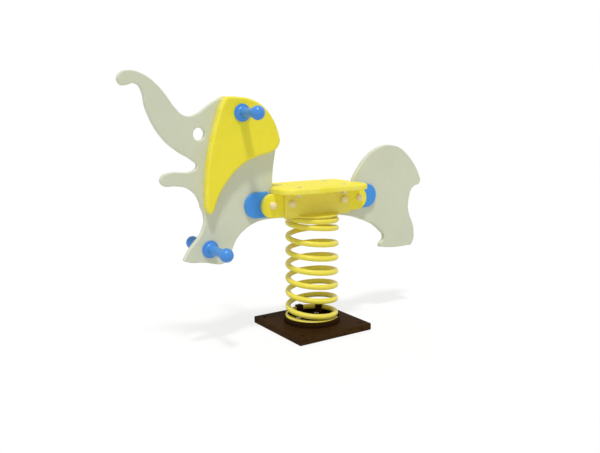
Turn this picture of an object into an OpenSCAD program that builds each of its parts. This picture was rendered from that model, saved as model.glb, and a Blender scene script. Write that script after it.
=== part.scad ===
// Spring rider for a playground: a flat elephant on one steel coil spring.
// The elephant faces -X and its left side faces -Y. The ground is z = 0 and the coil stands on the Z axis.

/* [Ground base] */
// Side of the square ground plate
base_side = 320; // [280:5:420]
// Thickness of the ground plate
base_t = 25; // [16:1:40]
// Diameter of each anchor hole
anchor_d = 14; // [8:1:22]
// Distance from an anchor hole to the plate's edges
anchor_edge = 30; // [20:1:40]

/* [Coil spring] */
// Outside diameter of the coil
spring_od = 200; // [160:2:240]
// Diameter of the spring wire
wire_d = 20; // [14:1:24]
// Height of the coil at rest, closed end turns included
spring_h = 405; // [330:5:480]
// Number of turns, closed end turns included
spring_turns = 8.3; // [6.8:0.1:9.8]
// Gap between each wire end and the turn that passes over it
end_turn_gap = 1; // [0.6:0.1:3]

/* [Spring collar] */
// Height of the collar around the coil's lowest turn
collar_h = 22; // [14:1:28]
// Wall of the collar
collar_t = 4; // [3:0.5:8]

/* [Spring clips] */
// Width of each clip
clip_w = 26; // [20:1:36]
// Thickness of the clip steel
clip_t = 5; // [3:0.5:6]
// Length of the clip's bolted pad
clip_pad_l = 34; // [28:1:40]
// Diameter of the clip bolts
clip_bolt_d = 12; // [8:1:14]

/* [Saddle bracket] */
// Thickness of the round head plate on top of the coil
head_t = 6; // [4:1:12]
// Thickness of the bracket's upright sides
bracket_t = 6; // [4:1:10]
// Gap between the bracket's upright sides and the outer bolt caps
bracket_cap_gap = 33.7; // [10:0.1:40]
// Height from the top of the coil to the underside of the seat
deck_h = 92; // [84:1:104]
// Length of the seat tabs, measured out from the bracket
tab_l = 42; // [34:1:56]
// Width of the seat tabs
tab_w = 44; // [30:1:60]
// Thickness of the seat tabs
tab_t = 6; // [4:1:10]

/* [Animal boards] */
// Length of the animal from trunk tip to tail
body_l = 1253; // [1150:1:1350]
// Thickness of the body panel
panel_t = 20; // [14:1:30]
// Thickness of each ear
ear_t = 26; // [18:1:40]
// Diameter of the eye hole
eye_d = 42; // [20:1:56]
// Thickness of each blue spacer board
spacer_t = 10; // [6:1:16]
// Length of the spacer boards
spacer_l = 584; // [550:2:620]
// Diameter of the round ends of the spacer boards
spacer_end_d = 90; // [80:1:100]
// Thickness of each cheek board
cheek_t = 15; // [10:1:22]
// Length of the cheek boards
cheek_l = 464; // [450:2:500]
// Height of the cheek boards' lower edge above the head plate
cheek_lift = 1; // [0.5:0.5:6]

/* [Seat] */
// Length of the seat board
seat_l = 376; // [364:2:440]
// Width of the seat board
seat_w = 236; // [210:2:280]
// Thickness of the seat board
seat_t = 21; // [15:1:28]
// Radius of the seat's front corners
seat_front_r = 60; // [20:1:80]
// Radius of the seat's rear corners
seat_rear_r = 36; // [20:1:80]
// Radius of the seat's bowed long sides
seat_bow_r = 2000; // [400:10:3000]

/* [Grips] */
// Diameter of a grip's flange
flange_d = 60; // [50:1:70]
// Thickness of a grip's flange at its rim
flange_t = 5; // [3:1:8]
// Diameter of a grip's neck
neck_d = 31; // [26:1:36]
// Diameter of a grip's knob
knob_d = 47; // [42:1:56]
// Length of a hand grip
hand_grip_l = 126; // [100:1:160]
// Length of a foot grip
foot_grip_l = 140; // [110:1:170]
// Diameter of the rods inside the grips
rod_d = 12; // [8:1:16]

/* [Fasteners] */
// Diameter of the frame bolts
frame_bolt_d = 10; // [8:1:12]
// Diameter of the seat bolts
seat_bolt_d = 8; // [6:1:10]
// Diameter of the ear dowels
dowel_d = 12; // [8:1:16]
// Wall of the bolt caps
cap_wall = 2.5; // [1.5:0.5:4]

/* [Clearances] */
// Gap between the coil and what it sits on or under
coil_gap = 0.3; // [0.2:0.1:0.8]
// Extra diameter of a hole over its bolt or rod
hole_play = 0.6; // [0.2:0.1:1.5]
// Gap around the panel where it passes through the seat and over the head plate
slot_gap = 3; // [1:0.5:6]

/* [Hidden] */
$fn = 64;

// Paint and plastic colours
panel_colour = [0.80, 0.82, 0.72];
yellow = [0.95, 0.85, 0.15];
blue = [0.13, 0.42, 0.80];
dark = [0.17, 0.12, 0.07];
cream = [0.93, 0.87, 0.70];
zinc = [0.72, 0.73, 0.75];

// Levels from the ground up
coil_bottom = base_t + coil_gap;
coil_top = coil_bottom + spring_h;
head_z = coil_top + coil_gap;

// Coil centre line: a closed turn at each end that clears the wire's own end, a ramp, then a steady pitch
coil_r = (spring_od - wire_d) / 2;
coil_rise = spring_h - wire_d;
end_run_turns = wire_d / (2 * PI * coil_r);
end_turn_rise = wire_d + end_turn_gap;
ramp_start = 1 - end_run_turns;
ramp_end = 1.8;
lost_turns = 0.5;
closed_pitch = end_turn_rise / ramp_start;
pitch = coil_rise / (spring_turns - 2 * lost_turns);
rings_per_turn = 16;
wire_sides = 8;
wire_start_angle = 308;
coil_in_r = coil_r * cos(180 / rings_per_turn) - wire_d / 2;

// Rise of the wire u turns after one of its ends, with a smooth curve along the ramp
function end_rise(u) =
  let (
    ramp = ramp_end - ramp_start,
    s = (u - ramp_start) / ramp
  )
  u <= ramp_start ? closed_pitch * u
  : u <= ramp_end ? end_turn_rise
    + (3 - 2 * s) * s * s * (pitch * (ramp_end - lost_turns) - end_turn_rise)
    + s * (1 - s) * (1 - s) * ramp * closed_pitch
    - s * s * (1 - s) * ramp * pitch
  : pitch * (u - lost_turns);

// Height of the wire's centre above its bottom end, u turns from that end
function coil_height(u) =
  u <= spring_turns / 2 ? end_rise(u) : coil_rise - end_rise(spring_turns - u);

// The coil winds left-handed, so its angle falls as it climbs
function coil_angle(u) = wire_start_angle - 360 * u;
function radial(a) = [cos(a), sin(a), 0];
function forward(a) = [sin(a), -cos(a), 0];
function coil_point(u) =
  coil_r * radial(coil_angle(u)) + [0, 0, coil_bottom + wire_d / 2 + coil_height(u)];

// Straight ends, one wire diameter long, lead into and out of the helix
helix_rings = round(rings_per_turn * spring_turns);
turn_steps = [for (i = [0 : helix_rings]) spring_turns * i / helix_rings];
wire_path = concat(
  [coil_point(0) - wire_d * forward(coil_angle(0))],
  [for (u = turn_steps) coil_point(u)],
  [coil_point(spring_turns) + wire_d * forward(coil_angle(spring_turns))]
);
wire_angles = concat(
  [coil_angle(0)],
  [for (u = turn_steps) coil_angle(u)],
  [coil_angle(spring_turns)]
);
wire_rings = len(wire_path);

// Least gap of the wire to itself, between points at least half a turn apart
wire_self_gap = min([
  for (i = [0 : wire_rings - 1])
    for (j = [i + rings_per_turn / 2 : 1 : wire_rings - 1])
      norm(wire_path[i] - wire_path[j])
]) - wire_d;
echo(str("least gap of the coil to itself: ", wire_self_gap, " mm"));

// Spring clips stand inside the coil at these turns from a wire end
clip_turns = [0.4, 0.6, 0.76];
bottom_clip_angles = [for (u = clip_turns) coil_angle(u)];
top_clip_angles = [for (u = clip_turns) coil_angle(spring_turns - u)];
clip_half_turn = clip_w / (4 * PI * coil_r);
clip_wire_tops = [for (u = clip_turns) coil_gap + wire_d + end_rise(u + clip_half_turn)];
clip_out_r = sqrt(pow(coil_in_r - 2 * coil_gap, 2) - pow(clip_w / 2, 2));
clip_bolt_r = clip_out_r - clip_t - clip_pad_l / 2;
finger_reach = 2;
clip_finger_r = coil_r + finger_reach;
clip_head_h = 0.65 * clip_bolt_d;
clip_head_d = 1.5 * clip_bolt_d / cos(30);
base_floor = 8;
head_inset = 2;
head_r = spring_od / 2 - head_inset;

// The collar clears the straight run at the wire's lower end
collar_in_r = sqrt(pow(spring_od / 2, 2) + pow(wire_d, 2)) + 2 * coil_gap;

// Lugs that stop the wire ends
lug_l = 10;
lug_w = 0.65 * wire_d;
lug_h = 0.8 * wire_d;

// Half widths of the stack, from the panel outwards
panel_y = panel_t / 2;
spacer_y = panel_y + spacer_t;
cheek_y = spacer_y + cheek_t;
bracket_y = cheek_y + bracket_t;
ear_y = panel_y + ear_t;

// Boards at the sides of the panel
cheek_low_z = head_t + cheek_lift;
cheek_h = deck_h - cheek_low_z;
cheek_mid_z = cheek_low_z + cheek_h / 2;
spacer_lift = 5;
spacer_mid_z = cheek_mid_z + spacer_lift;
spacer_seat_gap = 2;
spacer_bar_h = 2 * (deck_h - spacer_seat_gap - spacer_mid_z);

// Washers, nuts and caps of the frame bolts
washer_d = 2.1 * frame_bolt_d;
washer_t = 2;
frame_nut_h = 0.8 * frame_bolt_d;
frame_nut_d = 1.6 * frame_bolt_d / cos(30);
frame_head_h = 0.64 * frame_bolt_d;
cap_in_d = washer_d + hole_play;
cap_d = cap_in_d + 2 * cap_wall;
cap_depth = washer_t + frame_nut_h + hole_play;
cap_h = cap_depth + 1.6 * cap_wall;

// Frame bolts: one pair near the cheek ends, one through the bracket, which stays clear of the outer caps
outer_bolt_inset = 40;
inner_bolt_inset = 30;
bolt_lift = 3;
bolt_z = cheek_mid_z + bolt_lift;
outer_bolt_x = cheek_l / 2 - outer_bolt_inset;
bracket_l = 2 * (outer_bolt_x - cap_d / 2 - bracket_cap_gap);
inner_bolt_x = bracket_l / 2 - inner_bolt_inset;
frame_bolt_places = [
  [-outer_bolt_x, cheek_y], [-inner_bolt_x, bracket_y],
  [inner_bolt_x, bracket_y], [outer_bolt_x, cheek_y]
];

// Seat bolts pass through the seat and the bracket's tabs
tab_inset = 45;
tab_x = bracket_l / 2 - tab_inset;
seat_bolt_y = bracket_y + tab_l / 2;
seat_bolt_places = [for (x = [-tab_x, tab_x], y = [-seat_bolt_y, seat_bolt_y]) [x, y]];
seat_head_d = 2 * seat_bolt_d;
seat_head_h = seat_bolt_d / 2;
seat_nut_h = 0.8 * seat_bolt_d;
seat_nut_d = 1.6 * seat_bolt_d / cos(30);
seat_bolt_tail = 3;

// The outlines are drawn in X and height above the top of the coil, with this many units along the animal
outline_units = 1253;
outline_scale = body_l / outline_units;
function sized(points) = [for (p = points) outline_scale * p];

trunk_top = [
  [-714, 472], [-700, 493], [-670, 498], [-630, 486], [-592, 459], [-560, 423],
  [-533, 387], [-510, 366], [-485, 360], [-457, 368], [-425, 389], [-395, 408]
];
head_top = [[-365, 419], [-318, 423], [-270, 416], [-222, 392], [-185, 350], [-163, 300], [-158, 272]];
neck_back = [[-166, 222], [-173, 180]];
rump = [
  [188, 123], [210, 157], [245, 197], [295, 230], [360, 245],
  [420, 233], [470, 197], [510, 152], [530, 119]
];
tail = [[538, 98], [530, 81], [509, 76], [490, 62]];
rear_leg = [
  [478, 30], [474, -5], [482, -41], [501, -78], [510, -115], [507, -152], [495, -169], [470, -170],
  [345, -162], [328, -158], [330, -145], [347, -131], [347, -115], [328, -94], [292, -66], [240, -43]
];
belly = [[175, -22], [100, -9], [0, -5], [-100, -3], [-172, 1], [-236, -4]];
front_leg = [
  [-290, -28], [-322, -58], [-340, -95], [-346, -122], [-362, -133], [-453, -123], [-500, -117],
  [-517, -109], [-511, -95], [-490, -66], [-465, -40], [-449, -15], [-440, 12], [-442, 40]
];
tusk = [
  [-453, 74], [-470, 107], [-500, 130], [-545, 139], [-580, 142], [-590, 158],
  [-583, 174], [-562, 182], [-480, 184], [-466, 190]
];
trunk_under = [
  [-462, 202], [-480, 220], [-522, 245], [-560, 274], [-592, 311], [-615, 352], [-630, 392],
  [-637, 432], [-648, 453], [-664, 460], [-682, 455], [-703, 453]
];
ear_under = [
  [-168, 252], [-197, 237], [-246, 225], [-294, 207], [-335, 178], [-368, 142], [-393, 107],
  [-408, 75], [-418, 50], [-430, 41]
];
ear_front = [[-440, 56], [-443, 90], [-440, 155], [-431, 225], [-415, 295], [-397, 352], [-383, 393]];
eye_at = outline_scale * [-453, 303];
handle_at = outline_scale * [-309, 371];
foot_at = outline_scale * [-424, -80];
ear_dowels_at = sized([[-225, 285], [-405, 170]]);

// Where the panel dips under the seat, between neck and rump
neck_x = -176 * outline_scale;
rump_x = 178 * outline_scale;
dip_z = deck_h - 18;
dip_corner = 24;
dip_run = 50;
seat_dip = [
  [neck_x, deck_h + 52], [neck_x, deck_h + 16], [neck_x + 5, deck_h - 8],
  [neck_x + dip_corner, dip_z], [neck_x + dip_run, dip_z],
  [rump_x - dip_run, dip_z], [rump_x - dip_corner, dip_z],
  [rump_x - 6, deck_h - 10], [rump_x + 3, deck_h + 12]
];
panel_outline = concat(
  sized(trunk_top), sized(head_top), sized(neck_back), seat_dip, sized(rump), sized(tail),
  sized(rear_leg), sized(belly), sized(front_leg), sized(tusk), sized(trunk_under)
);
ear_outline = concat(sized(head_top), sized(ear_under), sized(ear_front));

// The seat's plan: two bowed long sides that run into round corners
bow_y = seat_bow_r - seat_w / 2;
function bow_half(r) = asin((seat_l / 2 - r) / (seat_bow_r - r));
function corner_mid(r) = [seat_l / 2 - r, (seat_bow_r - r) * cos(bow_half(r)) - bow_y];
function on_arc(centre, r, a) = centre + r * [cos(a), sin(a)];
function seat_corner(r) =
  [for (i = [0 : corner_steps]) on_arc(corner_mid(r), r, (90 - bow_half(r)) * i / corner_steps)];
function mirrored(points, flip) =
  [for (i = [len(points) - 1 : -1 : 0]) [points[i][0] * flip[0], points[i][1] * flip[1]]];
corner_steps = 8;
bow_steps = 10;
bow_from = bow_half(seat_rear_r);
bow_sweep = bow_from + bow_half(seat_front_r);
seat_side = concat(
  seat_corner(seat_rear_r),
  [for (i = [1 : bow_steps - 1])
    on_arc([0, -bow_y], seat_bow_r, 90 - bow_from + bow_sweep * i / bow_steps)],
  mirrored(seat_corner(seat_front_r), [-1, 1])
);
seat_outline = concat(seat_side, mirrored(seat_side, [1, -1]));

// A smooth closed curve through the points, its slopes weighted by the distances between them
curve_steps = 5;
function at(points, i) = points[(i + len(points)) % len(points)];
function chord(points, i) = norm(at(points, i + 1) - at(points, i));
function slope(points, i) =
  let (
    before = chord(points, i - 1),
    after = chord(points, i),
    back = (at(points, i) - at(points, i - 1)) / before,
    ahead = (at(points, i + 1) - at(points, i)) / after
  )
  (back * after + ahead * before) / (before + after);
function between(points, i, t) =
  let (
    a = at(points, i),
    b = at(points, i + 1),
    d = chord(points, i),
    t2 = t * t,
    t3 = t2 * t
  )
  (2 * t3 - 3 * t2 + 1) * a + (t3 - 2 * t2 + t) * d * slope(points, i)
  + (3 * t2 - 2 * t3) * b + (t3 - t2) * d * slope(points, i + 1);
function smooth(points) = [
  for (i = [0 : len(points) - 1])
    for (s = [0 : curve_steps - 1])
      between(points, i, s / curve_steps)
];

// A board of outline (x, z) from y_low to y_high
module board(points, y_low, y_high) {
  translate([0, y_high, 0])
    rotate([90, 0, 0])
      linear_extrude(y_high - y_low)
        polygon(points);
}

// A cylinder along Y from y_low to y_high
module rod_y(d, x, z, y_low, y_high) {
  translate([x, y_high, z])
    rotate([90, 0, 0])
      cylinder(h = y_high - y_low, d = d);
}

// Lifts a rider's piece, drawn from the head plate's underside, to its place over the coil
module on_head() {
  translate([0, 0, head_z])
    children();
}

module right_side() {
  mirror([0, 1, 0])
    children();
}

// Holes of the frame bolts through a board
module frame_bolt_holes(reach) {
  for (place = frame_bolt_places)
    rod_y(frame_bolt_d + hole_play, place[0], bolt_z, -reach, reach);
}

// One clip, drawn at angle 0 with its pad on z = 0 and its finger over a wire whose top is at wire_top
module clip(wire_top) {
  finger_z = wire_top + coil_gap;
  pad_in_r = clip_out_r - clip_t - clip_pad_l;
  difference() {
    union() {
      translate([pad_in_r, -clip_w / 2, 0])
        cube([clip_out_r - pad_in_r, clip_w, clip_t]);
      translate([clip_out_r - clip_t, -clip_w / 2, 0])
        cube([clip_t, clip_w, finger_z + clip_t]);
      translate([clip_out_r - clip_t, -clip_w / 2, finger_z])
        cube([clip_finger_r - clip_out_r + clip_t, clip_w, clip_t]);
    }
    translate([clip_bolt_r, 0, -clip_t])
      cylinder(h = 3 * clip_t, d = clip_bolt_d + hole_play);
  }
}

// The clips of one coil end, around the Z axis, with their seat at z = 0
module clip_ring(angles) {
  for (i = [0 : len(angles) - 1])
    rotate([0, 0, angles[i]])
      clip(clip_wire_tops[i]);
}

// Places one child at each clip bolt of a coil end
module at_clip_bolts(angles) {
  for (a = angles)
    rotate([0, 0, a])
      translate([clip_bolt_r, 0, 0])
        children();
}

// A clip bolt: head on the clip's pad, shank of the given length down through pad and seat
module clip_bolt(shank) {
  translate([0, 0, clip_t])
    cylinder(h = clip_head_h, d = clip_head_d, $fn = 6);
  translate([0, 0, clip_t - shank])
    cylinder(h = shank, d = clip_bolt_d);
}

// The lug that stops the wire end at angle a, on the given side of its straight run
module wire_lug(a, side) {
  lug_y = wire_d + coil_gap;
  rotate([0, 0, a])
    translate([coil_r - 0.6 * lug_w, side > 0 ? lug_y : -lug_y - lug_l, 0])
      cube([lug_w, lug_l, lug_h]);
}

// A bar with round ends, as a board from y_low to y_high
module round_end_board(length, height, mid_z, y_low, y_high) {
  end_x = (length - height) / 2;
  translate([-end_x, y_low, mid_z - height / 2])
    cube([2 * end_x, y_high - y_low, height]);
  for (x = [-end_x, end_x])
    rod_y(height, x, mid_z, y_low, y_high);
}

// A grip along +Z: flange on z = 0, flared neck, round knob, with a blind bore for the rod
grip_end_wall = 14;
flare_h = 12;
module grip(length) {
  knob_r = knob_d / 2;
  neck_r = neck_d / 2;
  flange_r = flange_d / 2;
  knob_mid = length - knob_r;
  knob_start = -acos(neck_r / knob_r);
  flare = [
    for (a = [0 : 15 : 90])
      [neck_r + (flange_r - neck_r - 3) * (1 - sin(a)), flange_t + flare_h * (1 - cos(a))]
  ];
  ball = [for (s = [0 : 12]) let (a = knob_start + (90 - knob_start) * s / 12)
    [knob_r * cos(a), knob_mid + knob_r * sin(a)]];
  difference() {
    rotate_extrude()
      polygon(concat([[0, 0], [flange_r, 0], [flange_r, flange_t]], flare, ball));
    translate([0, 0, -1])
      cylinder(h = length - grip_end_wall + 1, d = rod_d + hole_play);
  }
}

// Places a grip, drawn along +Z, on the left face y of a board
module left_grip(place, face_y, length) {
  translate([place[0], -face_y, place[1]])
    rotate([90, 0, 0])
      grip(length);
}

// A rod through both grips of a pair
module grip_rod(place, face_y, length) {
  reach = face_y + length - grip_end_wall;
  rod_y(rod_d, place[0], place[1], -reach, reach);
}

module base_plate() {
  anchor_xy = base_side / 2 - anchor_edge;
  color(dark) {
    difference() {
      translate([-base_side / 2, -base_side / 2, 0])
        cube([base_side, base_side, base_t]);
      for (x = [-anchor_xy, anchor_xy], y = [-anchor_xy, anchor_xy])
        translate([x, y, -1])
          cylinder(h = base_t + 2, d = anchor_d);
      translate([0, 0, base_floor])
        at_clip_bolts(bottom_clip_angles)
          cylinder(h = base_t, d = clip_bolt_d + hole_play);
    }
    translate([0, 0, base_t])
      wire_lug(coil_angle(0), 1);
  }
}

module spring_collar() {
  color(dark)
    translate([0, 0, base_t])
      difference() {
        cylinder(h = collar_h, r = collar_in_r + collar_t);
        translate([0, 0, -1])
          cylinder(h = collar_h + 2, r = collar_in_r);
      }
}

module lower_clips() {
  color(dark)
    translate([0, 0, base_t])
      clip_ring(bottom_clip_angles);
}

module lower_clip_bolts() {
  color(zinc)
    translate([0, 0, base_t])
      at_clip_bolts(bottom_clip_angles)
        clip_bolt(clip_t + base_t - base_floor);
}

// The wire as one tube: a ring of points around each point of its path
module coil_spring() {
  rings = [
    for (i = [0 : wire_rings - 1])
      let (
        ahead = wire_path[min(i + 1, wire_rings - 1)] - wire_path[max(i - 1, 0)],
        out = radial(wire_angles[i]),
        flat = ahead - (ahead * out) * out,
        side = cross(flat / norm(flat), out)
      )
      for (k = [0 : wire_sides - 1])
        let (a = 360 * k / wire_sides)
        wire_path[i] + wire_d / 2 * (cos(a) * out + sin(a) * side)
  ];
  walls = [
    for (i = [0 : wire_rings - 2], k = [0 : wire_sides - 1])
      let (
        a = i * wire_sides + k,
        b = i * wire_sides + (k + 1) % wire_sides,
        c = a + wire_sides,
        d = b + wire_sides
      )
      each [[a, c, b], [b, c, d]]
  ];
  last = (wire_rings - 1) * wire_sides;
  ends = [
    for (k = [1 : wire_sides - 2])
      each [[0, k, k + 1], [last, last + k + 1, last + k]]
  ];
  color(yellow)
    polyhedron(points = rings, faces = concat(walls, ends));
}

module bracket_side() {
  translate([-bracket_l / 2, cheek_y, 0])
    cube([bracket_l, bracket_t, deck_h]);
  for (x = [-tab_x, tab_x])
    translate([x - tab_w / 2, cheek_y, deck_h - tab_t])
      cube([tab_w, bracket_t + tab_l, tab_t]);
}

module saddle_bracket() {
  color(yellow)
    on_head() {
      difference() {
        union() {
          cylinder(h = head_t, r = head_r);
          bracket_side();
          right_side()
            bracket_side();
        }
        frame_bolt_holes(bracket_y + 1);
        for (place = seat_bolt_places)
          translate([place[0], place[1], deck_h - tab_t - 1])
            cylinder(h = tab_t + 2, d = seat_bolt_d + hole_play);
        translate([0, 0, -1])
          at_clip_bolts(top_clip_angles)
            cylinder(h = head_t + 2, d = clip_bolt_d + hole_play);
      }
      mirror([0, 0, 1])
        wire_lug(coil_angle(spring_turns), -1);
    }
}

module upper_clips() {
  color(yellow)
    on_head()
      mirror([0, 0, 1])
        clip_ring(top_clip_angles);
}

module upper_clip_bolts() {
  color(zinc)
    on_head()
      mirror([0, 0, 1])
        at_clip_bolts(top_clip_angles)
          clip_bolt(clip_t + head_t);
}

module body_panel() {
  color(panel_colour)
    on_head()
      difference() {
        board(smooth(panel_outline), -panel_y, panel_y);
        rod_y(eye_d, eye_at[0], eye_at[1], -panel_t, panel_t);
        rod_y(rod_d + hole_play, handle_at[0], handle_at[1], -panel_t, panel_t);
        rod_y(rod_d + hole_play, foot_at[0], foot_at[1], -panel_t, panel_t);
        for (place = ear_dowels_at)
          rod_y(dowel_d + hole_play, place[0], place[1], -panel_t, panel_t);
        frame_bolt_holes(panel_t);
        translate([0, 0, -panel_t])
          cylinder(h = panel_t + head_t, r = head_r + slot_gap);
      }
}

module spacer() {
  difference() {
    round_end_board(spacer_l, spacer_end_d, spacer_mid_z, -spacer_y, -panel_y);
    frame_bolt_holes(spacer_y + 1);
    half_bar = spacer_l / 2 - spacer_end_d;
    for (z = [spacer_mid_z + spacer_bar_h / 2, spacer_mid_z - spacer_bar_h / 2 - spacer_end_d])
      translate([-half_bar, -spacer_y - 1, z])
        cube([2 * half_bar, spacer_t + 2, spacer_end_d]);
  }
}

module left_spacer() {
  color(blue)
    on_head()
      spacer();
}

module right_spacer() {
  color(blue)
    on_head()
      right_side()
        spacer();
}

module cheek() {
  difference() {
    round_end_board(cheek_l, cheek_h, cheek_mid_z, -cheek_y, -spacer_y);
    frame_bolt_holes(cheek_y + 1);
  }
}

module left_cheek() {
  color(yellow)
    on_head()
      cheek();
}

module right_cheek() {
  color(yellow)
    on_head()
      right_side()
        cheek();
}

module seat_board() {
  color(yellow)
    on_head()
      translate([0, 0, deck_h])
        difference() {
          linear_extrude(seat_t)
            polygon(seat_outline);
          slot_w = panel_t + 2 * slot_gap;
          translate([-seat_l, -slot_w / 2, -1])
            cube([seat_l + neck_x + 2 * slot_gap, slot_w, seat_t + 2]);
          translate([rump_x - 2 * slot_gap, -slot_w / 2, -1])
            cube([seat_l, slot_w, seat_t + 2]);
          for (place = seat_bolt_places)
            translate([place[0], place[1], 0]) {
              translate([0, 0, -1])
                cylinder(h = seat_t + 2, d = seat_bolt_d + hole_play);
              translate([0, 0, seat_t - seat_head_h])
                cylinder(h = seat_head_h, d1 = seat_bolt_d + hole_play, d2 = seat_head_d + hole_play);
            }
        }
}

module seat_bolts() {
  shank = seat_t + tab_t + seat_nut_h + seat_bolt_tail;
  color(zinc)
    on_head()
      for (place = seat_bolt_places)
        translate([place[0], place[1], deck_h + seat_t - shank]) {
          cylinder(h = shank - seat_head_h, d = seat_bolt_d);
          translate([0, 0, shank - seat_head_h])
            cylinder(h = seat_head_h, d1 = seat_bolt_d, d2 = seat_head_d);
        }
}

module seat_nuts() {
  color(zinc)
    on_head()
      for (place = seat_bolt_places)
        translate([place[0], place[1], deck_h - tab_t - seat_nut_h])
          difference() {
            cylinder(h = seat_nut_h, d = seat_nut_d, $fn = 6);
            translate([0, 0, -1])
              cylinder(h = seat_nut_h + 2, d = seat_bolt_d + hole_play);
          }
}

module ear() {
  difference() {
    board(smooth(ear_outline), -ear_y, -panel_y);
    rod_y(rod_d + hole_play, handle_at[0], handle_at[1], -ear_y - 1, 0);
    for (place = ear_dowels_at)
      rod_y(dowel_d + hole_play, place[0], place[1], -panel_y - ear_t / 2, 0);
  }
}

module left_ear() {
  color(yellow)
    on_head()
      ear();
}

module right_ear() {
  color(yellow)
    on_head()
      right_side()
        ear();
}

module ear_dowels() {
  reach = panel_y + ear_t / 2;
  color(zinc)
    on_head()
      for (place = ear_dowels_at)
        rod_y(dowel_d, place[0], place[1], -reach, reach);
}

module handle_rod() {
  color(zinc)
    on_head()
      grip_rod(handle_at, ear_y, hand_grip_l);
}

module left_hand_grip() {
  color(blue)
    on_head()
      left_grip(handle_at, ear_y, hand_grip_l);
}

module right_hand_grip() {
  color(blue)
    on_head()
      right_side()
        left_grip(handle_at, ear_y, hand_grip_l);
}

module foot_rod() {
  color(zinc)
    on_head()
      grip_rod(foot_at, panel_y, foot_grip_l);
}

module left_foot_grip() {
  color(blue)
    on_head()
      left_grip(foot_at, panel_y, foot_grip_l);
}

module right_foot_grip() {
  color(blue)
    on_head()
      right_side()
        left_grip(foot_at, panel_y, foot_grip_l);
}

// Frame bolts enter from the left, with their nuts on the right
module frame_bolts() {
  color(zinc)
    on_head()
      for (place = frame_bolt_places) {
        head_y = place[1] + washer_t;
        rod_y(frame_bolt_d, place[0], bolt_z, -head_y, head_y + frame_nut_h);
        translate([place[0], -head_y, bolt_z])
          rotate([90, 0, 0])
            cylinder(h = frame_head_h, d = frame_nut_d, $fn = 6);
      }
}

module frame_nuts() {
  color(zinc)
    on_head()
      for (place = frame_bolt_places)
        translate([place[0], place[1] + washer_t, bolt_z])
          rotate([-90, 0, 0])
            difference() {
              cylinder(h = frame_nut_h, d = frame_nut_d, $fn = 6);
              translate([0, 0, -1])
                cylinder(h = frame_nut_h + 2, d = frame_bolt_d + hole_play);
            }
}

module frame_washers() {
  color(zinc)
    on_head()
      for (place = frame_bolt_places, side = [-1, 1])
        translate([place[0], side * (place[1] + washer_t / 2), bolt_z])
          rotate([90, 0, 0])
            difference() {
              cylinder(h = washer_t, d = washer_d, center = true);
              cylinder(h = 2 * washer_t, d = frame_bolt_d + hole_play, center = true);
            }
}

// A hollow domed cap along +Z over a bolt end
module bolt_cap() {
  dome_start = 0.75 * cap_depth;
  dome = [
    for (a = [0 : 15 : 90])
      [cap_d / 2 * cos(a), dome_start + (cap_h - dome_start) * sin(a)]
  ];
  difference() {
    rotate_extrude()
      polygon(concat([[0, 0], [cap_d / 2, 0]], dome));
    translate([0, 0, -1])
      cylinder(h = cap_depth + 1, d = cap_in_d);
  }
}

module bolt_caps() {
  color(cream)
    on_head()
      for (place = frame_bolt_places, side = [-1, 1])
        translate([place[0], side * place[1], bolt_z])
          rotate([-90 * side, 0, 0])
            bolt_cap();
}

base_plate();
spring_collar();
lower_clips();
lower_clip_bolts();
coil_spring();
saddle_bracket();
upper_clips();
upper_clip_bolts();
body_panel();
left_spacer();
right_spacer();
left_cheek();
right_cheek();
seat_board();
seat_bolts();
seat_nuts();
left_ear();
right_ear();
ear_dowels();
handle_rod();
left_hand_grip();
right_hand_grip();
foot_rod();
left_foot_grip();
right_foot_grip();
frame_bolts();
frame_nuts();
frame_washers();
bolt_caps();
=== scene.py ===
"""Spring rider: a flat elephant of coloured boards on a coil spring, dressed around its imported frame."""
import math

import bmesh
import bpy
import numpy as np
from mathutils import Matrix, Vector, geometry


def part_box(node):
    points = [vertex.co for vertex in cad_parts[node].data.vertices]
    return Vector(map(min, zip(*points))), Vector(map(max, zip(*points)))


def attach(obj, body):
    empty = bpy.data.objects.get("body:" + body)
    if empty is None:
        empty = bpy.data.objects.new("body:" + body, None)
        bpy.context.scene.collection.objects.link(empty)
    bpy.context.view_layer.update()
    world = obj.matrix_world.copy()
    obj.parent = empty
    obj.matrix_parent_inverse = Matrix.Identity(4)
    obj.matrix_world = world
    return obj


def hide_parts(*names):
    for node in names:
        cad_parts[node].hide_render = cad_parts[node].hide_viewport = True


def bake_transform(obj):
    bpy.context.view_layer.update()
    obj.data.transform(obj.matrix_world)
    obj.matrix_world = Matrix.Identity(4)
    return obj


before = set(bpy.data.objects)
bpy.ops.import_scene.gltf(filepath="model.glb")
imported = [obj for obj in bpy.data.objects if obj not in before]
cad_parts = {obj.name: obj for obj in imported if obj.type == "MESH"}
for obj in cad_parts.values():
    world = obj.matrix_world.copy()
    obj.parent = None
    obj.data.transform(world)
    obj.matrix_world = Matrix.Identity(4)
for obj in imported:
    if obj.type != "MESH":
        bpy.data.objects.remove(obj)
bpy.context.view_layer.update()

MM = 0.001

# Corners of CAD meshes that are nearer than this are one corner, in metres
JOIN_DIST = 2e-5

# Axes that the boards' thickness lies along, as coordinate numbers
Y_AXIS = 1
Z_AXIS = 2

# Coil sizes, the same as in the part's source: lengths in metres, the angle in degrees, the rest in turns
BASE_TOP = 25 * MM
COIL_GAP = 0.3 * MM
COIL_OUTSIDE = 200 * MM
WIRE = 20 * MM
COIL_HEIGHT = 405 * MM
TURNS = 8.3
END_TURN_GAP = 1 * MM
WIRE_START_ANGLE = 308
RAMP_END = 1.8
LOST_TURNS = 0.5

# Edge radii of the boards, in metres
PANEL_EDGE = 4 * MM
EAR_EDGE = 9 * MM
EAR_BACK_EDGE = 1.5 * MM
CHEEK_EDGE = 4 * MM
SPACER_EDGE = 3 * MM
SEAT_TOP_EDGE = 8 * MM
SEAT_UNDER_EDGE = 4 * MM
PLATE_EDGE = 2 * MM
BOARD_BACK_EDGE = 1 * MM

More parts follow.
